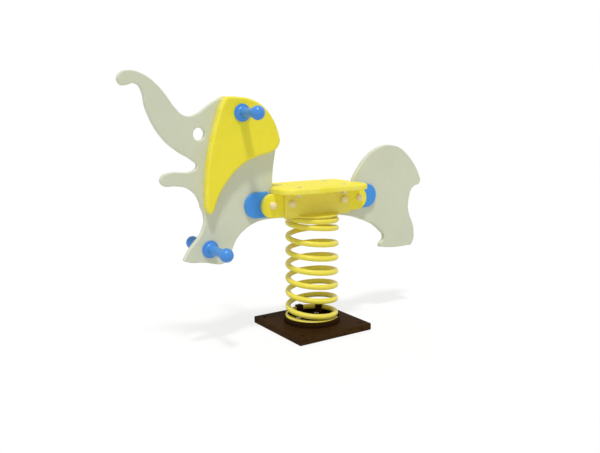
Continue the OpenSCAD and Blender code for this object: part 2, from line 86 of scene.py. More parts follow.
# Caps and bracket, the same as in the part's source, in metres
CAP_WALL = 2.5 * MM
CAP_CROWN = 4 * MM
BRACKET_STEEL = 6 * MM
BRACKET_FACE_Y = 41 * MM

# Turned pieces and weld beads, in metres
GRIP_NECK = 15.5 * MM
GRIP_KNOB = 23.5 * MM
SEAT_BOLT_SHANK = 4 * MM
BEAD = 3.2 * MM
BEAD_REACH = 84 * MM
BEAD_SINK = 0.6 * MM
WIRE_BEVEL = 1.5 * MM

# Angles in degrees: of joins that are dissolved, of edges that get a bevel, and of breaks in the shading
FLAT_JOIN = 1
BEVEL_FROM = 35
SHADE_BREAK = 40

# Heights given for the bends of the coil's two lengths, in metres
LOWER_BEND = (0.078, 0.178)
UPPER_BEND = (0.278, 0.378)

# Studio: the floor's level is in metres, the sun's spread in degrees
FLOOR_LEVEL = -0.5 * MM
FLOOR_TONE = (0.85, 0.85, 0.85, 1.0)
FLOOR_GLOW = 1.06
FLOOR_GLOW_SHARE = 0.7
AMBIENT = 0.5
SUN_STRENGTH = 1.8
SUN_SPREAD = 7
SUN_DIRECTION = (0.2, 0.31, -0.93)

# Camera that sees what the photograph shows: place in metres, angles in degrees, lens and sensor in mm
CAMERA_PLACE = (-1.3886, -1.9717, 0.8099)
CAMERA_TILT = 80.0
CAMERA_PAN = -34.1
CAMERA_LENS = 39.59
CAMERA_SENSOR = 36


# Shader helpers

def linear(red, green, blue):
    """A colour given in 0 to 255 screen values, as the linear colour that a shader takes."""
    def channel(value):
        value /= 255
        return value / 12.92 if value <= 0.04045 else ((value + 0.055) / 1.055) ** 2.4
    return channel(red), channel(green), channel(blue), 1.0


def put(tree, kind, inputs=None, **settings):
    """Adds a shader node, sets its properties, and sets or links its inputs."""
    node = tree.nodes.new("ShaderNode" + kind)
    for key, value in settings.items():
        setattr(node, key, value)
    for key, value in (inputs or {}).items():
        if isinstance(value, bpy.types.NodeSocket):
            tree.links.new(value, node.inputs[key])
        else:
            node.inputs[key].default_value = value
    return node


def mix_colour(tree, factor, first, second, blend="MIX"):
    """Mixes two colours and returns the result's socket."""
    node = put(tree, "Mix", {0: factor, 6: first, 7: second}, data_type="RGBA", blend_type=blend)
    return node.outputs[2]


def calc(tree, operation, first, second=0.0, clamp=False):
    """One arithmetic step, returning its socket."""
    return put(tree, "Math", {0: first, 1: second}, operation=operation, use_clamp=clamp).outputs[0]


def ranged(tree, value, low, high, to_low=0.0, to_high=1.0):
    """Maps a value smoothly from one range to another."""
    node = put(tree, "MapRange", {"Value": value, "From Min": low, "From Max": high,
                                  "To Min": to_low, "To Max": to_high}, interpolation_type="SMOOTHSTEP")
    return node.outputs[0]


def noise(tree, place, scale, detail=2.0, roughness=0.5):
    """Smooth noise from 0 to 1, returning its socket."""
    return put(tree, "TexNoise", {"Vector": place, "Scale": scale, "Detail": detail,
                                  "Roughness": roughness}).outputs["Fac"]


def new_group(name, inputs, outputs):
    """A shader node group with named sockets. Returns its tree, its inputs' sockets and its output node."""
    tree = bpy.data.node_groups.new(name, "ShaderNodeTree")
    for label, kind, value in inputs:
        socket = tree.interface.new_socket(label, in_out="INPUT", socket_type="NodeSocket" + kind)
        socket.default_value = value
    for label, kind in outputs:
        tree.interface.new_socket(label, in_out="OUTPUT", socket_type="NodeSocket" + kind)
    given = tree.nodes.new("NodeGroupInput")
    result = tree.nodes.new("NodeGroupOutput")
    return tree, given.outputs, result


def use_group(tree, group, **inputs):
    """Places a group in a material. Input names are the group's, with spaces as underscores."""
    node = tree.nodes.new("ShaderNodeGroup")
    node.node_tree = group
    for key, value in inputs.items():
        socket = node.inputs[key.replace("_", " ")]
        if isinstance(value, bpy.types.NodeSocket):
            tree.links.new(value, socket)
        else:
            socket.default_value = value
    return node.outputs


WHITE = (1.0, 1.0, 1.0, 1.0)


def make_mottle_group():
    """Slow and fine changes of shade over a surface."""
    tree, given, result = new_group(
        "mottle",
        [("Colour", "Color", WHITE), ("Scale", "Float", 6.0), ("Amount", "Float", 0.06)],
        [("Colour", "Color")])
    place = put(tree, "TexCoord").outputs["Object"]
    slow = noise(tree, place, given["Scale"], detail=3.0, roughness=0.55)
    fine = noise(tree, place, calc(tree, "MULTIPLY", given["Scale"], 9.0), detail=2.0)
    both = calc(tree, "ADD", calc(tree, "MULTIPLY", slow, 0.7), calc(tree, "MULTIPLY", fine, 0.3))
    reach = calc(tree, "MULTIPLY", given["Amount"], 4.0)
    swing = calc(tree, "MULTIPLY", calc(tree, "SUBTRACT", both, 0.5), reach)
    shade = calc(tree, "ADD", swing, 1.0)
    scaled = put(tree, "VectorMath", {0: given["Colour"], "Scale": shade}, operation="SCALE")
    tree.links.new(scaled.outputs[0], result.inputs["Colour"])
    return tree


def make_rim_group():
    """Paler, rubbed edges. The mask comes from the rim attribute that the boards carry."""
    tree, given, result = new_group(
        "rim_wear",
        [("Colour", "Color", WHITE), ("Worn", "Color", WHITE), ("Amount", "Float", 0.3)],
        [("Colour", "Color")])
    place = put(tree, "TexCoord").outputs["Object"]
    rim = put(tree, "Attribute", attribute_name="rim").outputs["Fac"]
    patchy = ranged(tree, noise(tree, place, 38.0, detail=4.0, roughness=0.6), 0.32, 0.68)
    mask = calc(tree, "MULTIPLY", calc(tree, "MULTIPLY", rim, patchy), given["Amount"], clamp=True)
    tree.links.new(mix_colour(tree, mask, given["Colour"], given["Worn"]), result.inputs["Colour"])
    return tree


def make_dust_group():
    """Pale ground dust that thins out with height."""
    tree, given, result = new_group(
        "ground_dust",
        [("Colour", "Color", WHITE), ("Dust", "Color", WHITE),
         ("Height", "Float", 0.3), ("Amount", "Float", 0.3)],
        [("Colour", "Color"), ("Mask", "Float")])
    place = put(tree, "TexCoord").outputs["Object"]
    height = put(tree, "SeparateXYZ", {0: place}).outputs["Z"]
    low = calc(tree, "SUBTRACT", 1.0, calc(tree, "DIVIDE", height, given["Height"]), clamp=True)
    patchy = ranged(tree, noise(tree, place, 21.0, detail=5.0, roughness=0.65), 0.35, 0.72)
    mask = calc(tree, "MULTIPLY", calc(tree, "MULTIPLY", low, patchy), given["Amount"], clamp=True)
    tree.links.new(mix_colour(tree, mask, given["Colour"], given["Dust"]), result.inputs["Colour"])
    tree.links.new(mask, result.inputs["Mask"])
    return tree


def make_peel_group():
    """Height of a fine uneven skin, such as moulded plastic or powder coat."""
    tree, given, result = new_group(
        "skin_height",
        [("Scale", "Float", 300.0), ("Coarse", "Float", 0.3)],
        [("Height", "Float")])
    place = put(tree, "TexCoord").outputs["Object"]
    fine = noise(tree, place, given["Scale"], detail=2.0)
    coarse = noise(tree, place, calc(tree, "MULTIPLY", given["Scale"], 0.12), detail=1.0)
    height = calc(tree, "ADD", fine, calc(tree, "MULTIPLY", coarse, given["Coarse"]))
    tree.links.new(height, result.inputs["Height"])
    return tree


def make_scuff_group():
    """Mask of fine scratches along X, crossed by shorter ones."""
    tree, given, result = new_group(
        "scuffs",
        [("Scale", "Float", 9.0), ("Amount", "Float", 0.5)],
        [("Mask", "Float")])
    place = put(tree, "TexCoord").outputs["Object"]
    masks = []
    for stretch, cut in (((0.12, 1.0, 6.0), 0.66), ((4.0, 1.0, 0.3), 0.70)):
        along = put(tree, "Mapping", {"Vector": place, "Scale": stretch}).outputs[0]
        streak = noise(tree, along, calc(tree, "MULTIPLY", given["Scale"], 4.0), detail=3.0, roughness=0.6)
        masks.append(ranged(tree, streak, cut, cut + 0.08))
    spread = ranged(tree, noise(tree, place, given["Scale"], detail=2.0), 0.45, 0.65)
    both = calc(tree, "MULTIPLY", calc(tree, "MAXIMUM", *masks), spread)
    tree.links.new(calc(tree, "MULTIPLY", both, given["Amount"]), result.inputs["Mask"])
    return tree


MOTTLE = make_mottle_group()
RIM = make_rim_group()
DUST = make_dust_group()
PEEL = make_peel_group()
SCUFFS = make_scuff_group()


def new_material(name):
    """An empty node material with its output node."""
    material = bpy.data.materials.new(name)
    material.use_nodes = True
    tree = material.node_tree
    tree.nodes.clear()
    return material, tree, tree.nodes.new("ShaderNodeOutputMaterial")


def finish_material(tree, output, colour, roughness, height, bump, **constants):
    """Closes a material with one Principled shader. Constants are set on the shader's own sockets."""
    normal = put(tree, "Bump", {"Height": height, "Strength": 1.0, "Distance": bump}).outputs[0]
    shader = put(tree, "BsdfPrincipled", {"Base Color": colour, "Roughness": roughness, "Normal": normal})
    for key, value in constants.items():
        shader.inputs[key.replace("_", " ")].default_value = value
    tree.links.new(shader.outputs[0], output.inputs["Surface"])


def board_material(name, colour, worn, amount, rim_amount, gloss):
    """A solid-coloured plastic board: faint mottling, rubbed edges, scuffs and a fine skin."""
    material, tree, output = new_material(name)
    base = use_group(tree, MOTTLE, Colour=colour, Scale=5.0, Amount=amount)["Colour"]
    rubbed = use_group(tree, RIM, Colour=base, Worn=worn, Amount=rim_amount)["Colour"]
    scuff = use_group(tree, SCUFFS, Scale=8.0, Amount=0.8)["Mask"]
    tint = mix_colour(tree, calc(tree, "MULTIPLY", scuff, 0.4), rubbed, worn)
    rough = calc(tree, "ADD", calc(tree, "MULTIPLY", scuff, 0.2), gloss)
    skin = use_group(tree, PEEL, Scale=420.0, Coarse=0.8)["Height"]
    finish_material(tree, output, tint, rough, skin, bump=0.0003, IOR=1.5, Specular_IOR_Level=0.16)
    return material


def paint_material(name, colour, worn, gloss, shine, dust, dust_height, dust_amount):
    """Painted steel: powder-coat skin, rubbed edges and dust near the ground."""
    material, tree, output = new_material(name)
    base = use_group(tree, MOTTLE, Colour=colour, Scale=9.0, Amount=0.05)["Colour"]
    rubbed = use_group(tree, RIM, Colour=base, Worn=worn, Amount=0.35)["Colour"]
    dusted = use_group(tree, DUST, Colour=rubbed, Dust=dust, Height=dust_height, Amount=dust_amount)
    scuff = use_group(tree, SCUFFS, Scale=14.0, Amount=0.5)["Mask"]
    tint = mix_colour(tree, calc(tree, "MULTIPLY", scuff, 0.4), dusted["Colour"], worn)
    rough = calc(tree, "ADD", calc(tree, "MULTIPLY", dusted["Mask"], 0.4), gloss)
    skin = use_group(tree, PEEL, Scale=260.0, Coarse=1.2)["Height"]
    finish_material(tree, output, tint, rough, skin, bump=0.00018, IOR=1.5, Specular_IOR_Level=shine)
    return material


def grip_material(name, colour, worn):
    """Glossy moulded plastic of the grips, with a little wear."""
    material, tree, output = new_material(name)
    base = use_group(tree, MOTTLE, Colour=colour, Scale=22.0, Amount=0.05)["Colour"]
    scuff = use_group(tree, SCUFFS, Scale=30.0, Amount=0.5)["Mask"]
    tint = mix_colour(tree, calc(tree, "MULTIPLY", scuff, 0.35), base, worn)
    rough = calc(tree, "ADD", calc(tree, "MULTIPLY", scuff, 0.35), 0.3)
    skin = use_group(tree, PEEL, Scale=700.0, Coarse=0.5)["Height"]
    finish_material(tree, output, tint, rough, skin, bump=0.00006, IOR=1.5)
    return material


def steel_material(name, colour):
    """Zinc-plated steel: cloudy plating and fine scratches."""
    material, tree, output = new_material(name)
    base = use_group(tree, MOTTLE, Colour=colour, Scale=90.0, Amount=0.12)["Colour"]
    scuff = use_group(tree, SCUFFS, Scale=60.0, Amount=0.6)["Mask"]
    rough = calc(tree, "ADD", calc(tree, "MULTIPLY", scuff, 0.25), 0.32)
    skin = use_group(tree, PEEL, Scale=900.0, Coarse=0.3)["Height"]
    finish_material(tree, output, base, rough, skin, bump=0.00004, Metallic=1.0)
    return material


FINISHES = {
    "pale_board": board_material(
        "pale_board", linear(214, 218, 192), linear(232, 234, 220), amount=0.05, rim_amount=0.45, gloss=0.5),
    "yellow_board": board_material(
        "yellow_board", linear(245, 231, 60), linear(251, 244, 146), amount=0.05, rim_amount=0.4, gloss=0.5),
    "blue_board": board_material(
        "blue_board", linear(74, 152, 232), linear(140, 192, 238), amount=0.05, rim_amount=0.35, gloss=0.46),
    "cream_cap": board_material(
        "cream_cap", linear(242, 226, 176), linear(250, 240, 214), amount=0.04, rim_amount=0.3, gloss=0.42),
    "yellow_paint": paint_material(
        "yellow_paint", linear(239, 224, 76), linear(247, 237, 140), gloss=0.36, shine=0.4,
        dust=linear(176, 160, 120), dust_height=0.16, dust_amount=0.3),
    "dark_paint": paint_material(
        "dark_paint", linear(50, 31, 10), linear(86, 62, 34), gloss=0.66, shine=0.03,
        dust=linear(104, 84, 54), dust_height=0.04, dust_amount=0.08),
    "blue_grip": grip_material("blue_grip", linear(64, 142, 222), linear(136, 186, 234)),
    "steel": steel_material("steel", linear(196, 198, 202)),
}


# Meshes

# Insets and cross products below these are none, and a mitre grows no longer below this cosine
LEAST_INSET = 1e-7
LEAST_CROSS = 1e-14
LEAST_MITRE_COSINE = 0.6


def welded(node):
    """The CAD node's mesh as a bmesh with its corners joined. The node itself stays as it is."""
    bm = bmesh.new()
    bm.from_mesh(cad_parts[node].data)
    bmesh.ops.remove_doubles(bm, verts=bm.verts, dist=JOIN_DIST)
    return bm


def area(loop):
    """Signed area of a flat loop."""
    x, y = np.asarray(loop).T
    return 0.5 * float(np.sum(x * np.roll(y, -1) - y * np.roll(x, -1)))


def face_loops(node, axis, side, least_hole):
    """Outlines of a board's flat face as 2-D loops: the outer one, then the holes wider than least_hole."""
    bm = welded(node)
    level = (min if side < 0 else max)(v.co[axis] for v in bm.verts)
    flat = {f for f in bm.faces if all(abs(v.co[axis] - level) < JOIN_DIST for v in f.verts)}
    near = {}
    for edge in {e for f in flat for e in f.edges}:
        if sum(f in flat for f in edge.link_faces) == 1:
            a, b = edge.verts
            near.setdefault(a, []).append(b)
            near.setdefault(b, []).append(a)
    keep = [i for i in range(3) if i != axis]
    loops, left = [], set(near)
    while left:
        walk = [left.pop()]
        while True:
            ahead = [v for v in near[walk[-1]] if v in left]
            if not ahead:
                break
            left.remove(ahead[0])
            walk.append(ahead[0])
        loops.append(np.array([[v.co[keep[0]], v.co[keep[1]]] for v in walk]))
    bm.free()
    loops.sort(key=lambda loop: -abs(area(loop)))
    loops = [loops[0]] + [loop for loop in loops[1:] if np.ptp(loop[:, 0]) > least_hole]
    return [loop if (area(loop) > 0) == (i == 0) else loop[::-1] for i, loop in enumerate(loops)]


def turns(loop):
    """Angle by which a loop turns at each of its points."""
    ahead = np.roll(loop, -1, 0) - loop
    angle = np.arctan2(ahead[:, 1], ahead[:, 0])
    change = angle - np.roll(angle, 1)
    return (change + math.pi) % (2 * math.pi) - math.pi


def ease_corners(loop, radius, sharp=0.6, share=0.45, steps=5):
    """Rounds corners that turn by more than sharp, in radians, with arcs over up to a share of each edge."""
    out = []
    for i, turn in enumerate(turns(loop)):
        here, before, after = loop[i], loop[i - 1], loop[(i + 1) % len(loop)]
        if abs(turn) < sharp:
            out.append(here)
            continue
        back, ahead = before - here, after - here
        back_l, ahead_l = np.linalg.norm(back), np.linalg.norm(ahead)
        reach = min(radius * math.tan(abs(turn) / 2), share * back_l, share * ahead_l)
        start = here + reach * back / back_l
        end = here + reach * ahead / ahead_l
        for s in range(steps + 1):
            t = s / steps
            out.append((1 - t) ** 2 * start + 2 * t * (1 - t) * here + t * t * end)
    return np.array(out)


def refine(loop, longest=0.02, gentle=0.5, straight=1e-4):
    """Adds a point between neighbours where a loop curves gently, on the curve through four points."""
    out = []
    bends = np.abs(turns(loop))
    count = len(loop)
    for i in range(count):
        j = (i + 1) % count
        out.append(loop[i])
        before, after = loop[i - 1], loop[(j + 1) % count]
        gap = np.linalg.norm(loop[j] - loop[i])
        even = all(0.5 * gap < np.linalg.norm(step) < 2 * gap for step in (loop[i] - before, after - loop[j]))
        if even and max(bends[i], bends[j]) < gentle and straight < bends[i] + bends[j] and gap < longest:
            out.append((9 * (loop[i] + loop[j]) - before - after) / 16)
    return np.array(out)


def outward(loop):
    """Outward direction and mitre length at each point of a loop."""
    ahead = np.roll(loop, -1, 0) - loop
    ahead /= np.linalg.norm(ahead, axis=1)[:, None]
    side = np.stack([ahead[:, 1], -ahead[:, 0]], 1)
    both = side + np.roll(side, 1, 0)
    both /= np.linalg.norm(both, axis=1)[:, None]
    return both, 1 / np.maximum(np.sum(both * side, 1), LEAST_MITRE_COSINE)


def inset(loop, amount, window=60):
    """A loop moved inward. Returns its points, and for each the first of the points that meet in it."""
    out, mitre = outward(loop)
    moved = loop - out * (amount * mitre)[:, None]
    count = len(loop)
    window = min(window, count // 3)
    first = np.arange(count)
    if amount < LEAST_INSET:
        return moved, first
    i = 0
    while i < count:
        here, step = moved[i], moved[(i + 1) % count] - moved[i]
        others = (i + np.arange(2, window)) % count
        start = moved[others]
        ahead = moved[(others + 1) % count] - start
        across = step[0] * ahead[:, 1] - step[1] * ahead[:, 0]
        across = np.where(np.abs(across) < LEAST_CROSS, np.inf, across)
        gap = start - here
        along = (gap[:, 0] * ahead[:, 1] - gap[:, 1] * ahead[:, 0]) / across
        other = (gap[:, 0] * step[1] - gap[:, 1] * step[0]) / across
        hits = np.nonzero((along > 0) & (along < 1) & (other > 0) & (other < 1) & np.isfinite(across))[0]
        if len(hits):
            last = int(hits[-1])
            run = (i + 1 + np.arange(last + 2)) % count
            moved[run] = here + along[last] * step
            first[run] = run[0]
            i += last + 2
        i += 1
    return moved, first


def new_piece(name, mesh, finish, body, *nodes):
    """Links a finished mesh as a piece that rides on a body and stands for CAD nodes."""
    piece = bpy.data.objects.new(name, mesh)
    bpy.context.scene.collection.objects.link(piece)
    mesh.materials.append(FINISHES[finish])
    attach(piece, body)
    if nodes:
        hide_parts(*nodes)
    return piece


def face_out(mesh):
    """Turns the faces of closed shapes outward."""
    bm = bmesh.new()
    bm.from_mesh(mesh)
    bmesh.ops.recalc_face_normals(bm, faces=bm.faces)
    bm.to_mesh(mesh)
    bm.free()


def mesh_with_normals(name, points, faces, normals, rim, closed=False):
    """A mesh with exact smooth normals and the rim attribute, its faces turned to match those normals."""
    points, normals = np.asarray(points), np.asarray(normals)
    turned = []
    for face in faces:
        corner = points[list(face)]
        across = np.cross(corner[1] - corner[0], corner[2] - corner[0])
        faces_out = float(across @ normals[list(face)].mean(0)) >= 0
        turned.append(tuple(face) if faces_out else tuple(reversed(face)))
    mesh = bpy.data.meshes.new(name)
    mesh.from_pydata([tuple(p) for p in points], [], turned)
    if closed:
        face_out(mesh)
    mesh.shade_smooth()
    mesh.attributes.new("rim", "FLOAT", "POINT").data.foreach_set("value", np.asarray(rim, np.float32))
    mesh.normals_split_custom_set_from_vertices([tuple(n) for n in normals])
    return mesh


EDGE_STEPS = 5


def rounded_board(name, node, body, finish, axis, edges,
                  corner=1.5 * MM, least_hole=0.03, side=-1, levels=None):
    """A board cut to its CAD face's outline. Edges are the rounding radii at its low and high face."""
    box = np.array([tuple(c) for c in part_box(node)])
    keep = [i for i in range(3) if i != axis]
    low, high = levels or box[:, axis]
    loops = [np.clip(refine(ease_corners(loop, corner)), *box[:, keep])
             for loop in face_loops(node, axis, side, least_hole)]
    quarter = [0.5 * math.pi * k / EDGE_STEPS for k in range(EDGE_STEPS + 1)]
    rings = [(edges[0] * (1 - math.sin(a)), low + edges[0] * (1 - math.cos(a)), -math.cos(a))
             for a in quarter]
    rings += [(edges[1] * (1 - math.sin(a)), high - edges[1] * (1 - math.cos(a)), math.cos(a))
              for a in reversed(quarter)]
    points, normals, rim, faces = [], [], [], []
    caps = ([], [])
    for loop in loops:
        out = outward(loop)[0]
        count = len(loop)
        rows = []
        for amount, level, tilt in rings:
            flat, first = inset(loop, amount)
            lean = math.sqrt(max(0.0, 1 - tilt * tilt))
            row = np.empty(count, int)
            for i in range(count):
                if first[i] != i:
                    continue
                row[i] = len(points)
                point, normal = np.zeros(3), np.zeros(3)
                point[keep], point[axis] = flat[i], level
                normal[keep], normal[axis] = out[i] * lean, tilt
                points.append(point)
                normals.append(normal)
                rim.append(lean)
            rows.append(row[first])
        for lower, upper in zip(rows, rows[1:]):
            for i in range(count):
                j = (i + 1) % count
                corners = list(dict.fromkeys((lower[i], lower[j], upper[j], upper[i])))
                if len(corners) > 2:
                    faces.append(tuple(corners))
        caps[0].append(list(dict.fromkeys(rows[0])))
        caps[1].append(list(dict.fromkeys(rows[-1])))
    for cap in caps:
        flat_index = [i for ring in cap for i in ring]
        rings_3d = [[Vector(points[i]) for i in ring] for ring in cap]
        for triangle in geometry.tessellate_polygon(rings_3d):
            faces.append(tuple(flat_index[t] for t in triangle))
    mesh = mesh_with_normals(name, points, faces, normals, rim, closed=True)
    return new_piece(name, mesh, finish, body, node)


def soften(name, node, body, finish, width, segments=2, above=None):
    """A copy of a CAD node, or of what stands above a height, with small bevels on its sharp edges."""
    bm = welded(node)
    if above is not None:
        low = [f for f in bm.faces if all(v.co.z < above + JOIN_DIST for v in f.verts)]
        bmesh.ops.delete(bm, geom=low, context="FACES")
        bmesh.ops.holes_fill(bm, edges=[e for e in bm.edges if e.is_boundary])
    bmesh.ops.dissolve_limit(bm, angle_limit=math.radians(FLAT_JOIN), verts=bm.verts, edges=bm.edges)
    sharp = [e for e in bm.edges
             if len(e.link_faces) == 2 and e.calc_face_angle(0) > math.radians(BEVEL_FROM)]
    bmesh.ops.bevel(bm, geom=sharp, offset=width, segments=segments, affect="EDGES", profile=0.5,
                    clamp_overlap=True)
    bmesh.ops.recalc_face_normals(bm, faces=bm.faces)
    mesh = bpy.data.meshes.new(name)
    bm.to_mesh(mesh)
    bm.free()
    mesh.shade_smooth()
    mesh.set_sharp_from_angle(angle=math.radians(SHADE_BREAK))
    return new_piece(name, mesh, finish, body, node)


def islands(node):
    """Lowest and highest corner of each separate solid of a CAD node."""
    bm = welded(node)
    left, boxes = set(bm.verts), []
    while left:
        stack, found = [left.pop()], []
        while stack:
            vert = stack.pop()
            found.append(vert.co.copy())
            for edge in vert.link_edges:
                other = edge.other_vert(vert)
                if other in left:
                    left.remove(other)
                    stack.append(other)
        co = np.array(found)
        boxes.append((Vector(co.min(0)), Vector(co.max(0))))
    bm.free()
    return sorted(boxes, key=lambda box: tuple(round(value, 4) for value in box[0]))


def lathe(profile, foot, direction, sides=48):
    """Points and faces of a turned shape from (radius, height) pairs. A radius of 0 closes an end."""
    along = Vector(direction).normalized()
    across = along.orthogonal().normalized()
    third = along.cross(across)
    points, faces, rings = [], [], []
    for radius, height in profile:
        middle = Vector(foot) + along * height
        if radius == 0:
            rings.append([len(points)] * sides)
            points.append(middle)
            continue
        rings.append(range(len(points), len(points) + sides))
        for k in range(sides):
            a = 2 * math.pi * k / sides
            points.append(middle + radius * (math.cos(a) * across + math.sin(a) * third))
    for lower, upper in zip(rings, rings[1:]):
        for k in range(sides):
            j = (k + 1) % sides
            faces.append(tuple(dict.fromkeys((lower[k], lower[j], upper[j], upper[k]))))
    return points, faces


def plain_mesh(name, parts, sharp=SHADE_BREAK):
    """One mesh from several (points, faces) parts, smooth up to an angle in degrees."""
    points, faces = [], []
    for part_points, part_faces in parts:
        shift = len(points)
        points.extend(tuple(p) for p in part_points)
        faces.extend(tuple(i + shift for i in face) for face in part_faces)
    mesh = bpy.data.meshes.new(name)
    mesh.from_pydata(points, [], faces)
    face_out(mesh)
    mesh.shade_smooth()
    mesh.set_sharp_from_angle(angle=math.radians(sharp))
    return mesh


# Coil spring

COIL_R = (COIL_OUTSIDE - WIRE) / 2
COIL_RISE = COIL_HEIGHT - WIRE
END_TURN_RISE = WIRE + END_TURN_GAP
RAMP_START = 1 - WIRE / (2 * math.pi * COIL_R)
CLOSED_PITCH = END_TURN_RISE / RAMP_START
PITCH = COIL_RISE / (TURNS - 2 * LOST_TURNS)
COIL_FOOT = BASE_TOP + COIL_GAP + WIRE / 2
RINGS_PER_TURN = 40
WIRE_SIDES = 20


def end_rise(u):
    """Rise of the wire u turns after one of its ends."""
    if u <= RAMP_START:
        return CLOSED_PITCH * u
    if u > RAMP_END:
        return PITCH * (u - LOST_TURNS)
    ramp = RAMP_END - RAMP_START
    s = (u - RAMP_START) / ramp
    return (END_TURN_RISE + (3 - 2 * s) * s * s * (PITCH * (RAMP_END - LOST_TURNS) - END_TURN_RISE)
            + s * (1 - s) ** 2 * ramp * CLOSED_PITCH - s * s * (1 - s) * ramp * PITCH)


def wire_point(u):
    """The wire's centre u turns from its lower end."""
    rise = end_rise(u) if u <= TURNS / 2 else COIL_RISE - end_rise(TURNS - u)
    a = math.radians(WIRE_START_ANGLE - 360 * u)
    return Vector((COIL_R * math.cos(a), COIL_R * math.sin(a), COIL_FOOT + rise))


def wire_forward(u):
    """Level direction of the wire u turns from its lower end."""
    a = math.radians(WIRE_START_ANGLE - 360 * u)
    return Vector((math.sin(a), -math.cos(a), 0))


def wire_path():
    """The wire's centre line, with a short straight run at each end."""
    steps = round(RINGS_PER_TURN * TURNS)
    runs = [0.0, 0.25, 0.5, 0.75]
    path = [wire_point(0) - WIRE * (1 - t) * wire_forward(0) for t in runs]
    path += [wire_point(TURNS * i / steps) for i in range(steps + 1)]
    path += [wire_point(TURNS) + WIRE * (1 - t) * wire_forward(TURNS) for t in reversed(runs)]
    return path


def wire_mesh(name, path, first, last):
    """Tube around path[first] to path[last]. The wire's own ends are cut square with a small bevel."""
    points, faces, normals, rim = [], [], [], []

    def ring(i, radius, shift, lean):
        ahead = (path[min(i + 1, len(path) - 1)] - path[max(i - 1, 0)]).normalized()
        out = Vector((path[i].x, path[i].y, 0)).normalized()
        out = (out - ahead * out.dot(ahead)).normalized()
        up = ahead.cross(out)
        for k in range(WIRE_SIDES):
            a = 2 * math.pi * k / WIRE_SIDES
            spoke = math.cos(a) * out + math.sin(a) * up
            points.append(path[i] + radius * spoke + shift * ahead)
            normals.append(spoke * math.sqrt(1 - lean * lean) + ahead * lean)
            rim.append(abs(lean))

    def cut_end(i, sign):
        rows = [(WIRE / 2, -WIRE_BEVEL, 0.0), (WIRE / 2 - 0.45 * WIRE_BEVEL, -0.3 * WIRE_BEVEL, 0.7),
                (WIRE / 2 - WIRE_BEVEL, 0.0, 1.0)]
        for radius, back, lean in rows if sign > 0 else reversed(rows):
            ring(i, radius, sign * back, sign * lean)

    if first == 0:
        cut_end(0, -1)
    for i in range(first + (first == 0), last + (last < len(path) - 1)):
        ring(i, WIRE / 2, 0.0, 0.0)
    if last == len(path) - 1:
        cut_end(last, 1)
    rows = len(points) // WIRE_SIDES
    for r in range(rows - 1):
        lower, upper = r * WIRE_SIDES, (r + 1) * WIRE_SIDES
        for k in range(WIRE_SIDES):
            j = (k + 1) % WIRE_SIDES
            faces.append((lower + k, lower + j, upper + j, upper + k))
    for row, away in ((0, path[first] - path[first + 1]), (rows - 1, path[last] - path[last - 1])):
        start = len(points)
        for k in range(WIRE_SIDES):
            points.append(points[row * WIRE_SIDES + k].copy())
            normals.append(away.normalized())
            rim.append(0.0)
        faces.append(tuple(range(start, start + WIRE_SIDES)))
    return mesh_with_normals(name, points, faces, normals, rim)


def make_coil():
    """The coil in two lengths that meet at mid height."""
    path = wire_path()
    middle = len(path) // 2
    lengths = (
        ("coil_lower", 0, middle, "base", "spring", LOWER_BEND),
        ("coil_upper", middle, len(path) - 1, "spring", "rider", UPPER_BEND),
    )
    for name, first, last, below, above, (start, end) in lengths:
        mesh = wire_mesh(name, path, first, last)
        mesh.materials.append(FINISHES["yellow_paint"])
        piece = bpy.data.objects.new(name, mesh)
        bpy.context.scene.collection.objects.link(piece)
        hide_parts("coil_spring")
        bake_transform(piece)


# Turned and cut pieces

def arc(middle, radius, start, end, steps):
    """Points of an arc in (radius, height) space, angles in degrees."""
    for k in range(steps + 1):
        a = math.radians(start + (end - start) * k / steps)
        yield middle[0] + radius * math.cos(a), middle[1] + radius * math.sin(a)


def grip_profile(length, flange, neck, knob):
    """A grip from its flange on the board to the end of its round knob; all radii and heights in metres."""
    rim = 2 * MM
    flange_t, flare_h, flare_in = 5 * MM, 12 * MM, 3 * MM
    knob_mid = length - knob
    throat = 7 * MM
    gap, dimple = 0.4 * MM, 1 * MM
    reach = math.sqrt((knob + throat) ** 2 - (neck + throat) ** 2)
    lean = math.degrees(math.asin(reach / (knob + throat)))
    profile = [(0, gap), (flange - 1.2 * MM, gap), (flange - 0.4 * MM, gap + 0.5 * MM)]
    profile += arc((flange - rim, flange_t - rim), rim, 0, 90, 5)
    for k in range(9):
        a = math.pi / 2 * k / 8
        profile.append((neck + (flange - neck - flare_in) * (1 - math.sin(a)),
                        flange_t + flare_h * (1 - math.cos(a))))
    profile += arc((neck + throat, knob_mid - reach), throat, 180, 180 - lean, 6)
    profile += list(arc((0, knob_mid), knob, -lean, 84, 18))[1:]
    profile += [(knob * 0.07, length - 0.6 * dimple), (0, length - dimple)]
    return profile


def make_grips():
    """The four moulded grips, each turned about its rod."""
    for node in ("left_hand_grip", "right_hand_grip", "left_foot_grip", "right_foot_grip"):
        low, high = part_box(node)
        side = -1 if node.startswith("left") else 1
        board = high.y if side < 0 else low.y
        foot = ((low.x + high.x) / 2, board, (low.z + high.z) / 2)
        flange = (high.x - low.x) / 2
        profile = grip_profile(high.y - low.y, flange, GRIP_NECK, GRIP_KNOB)
        mesh = plain_mesh(node + "_moulded", [lathe(profile, foot, (0, side, 0))])
        new_piece(node + "_moulded", mesh, "blue_grip", "rider", node)


DOME_STEPS = 10


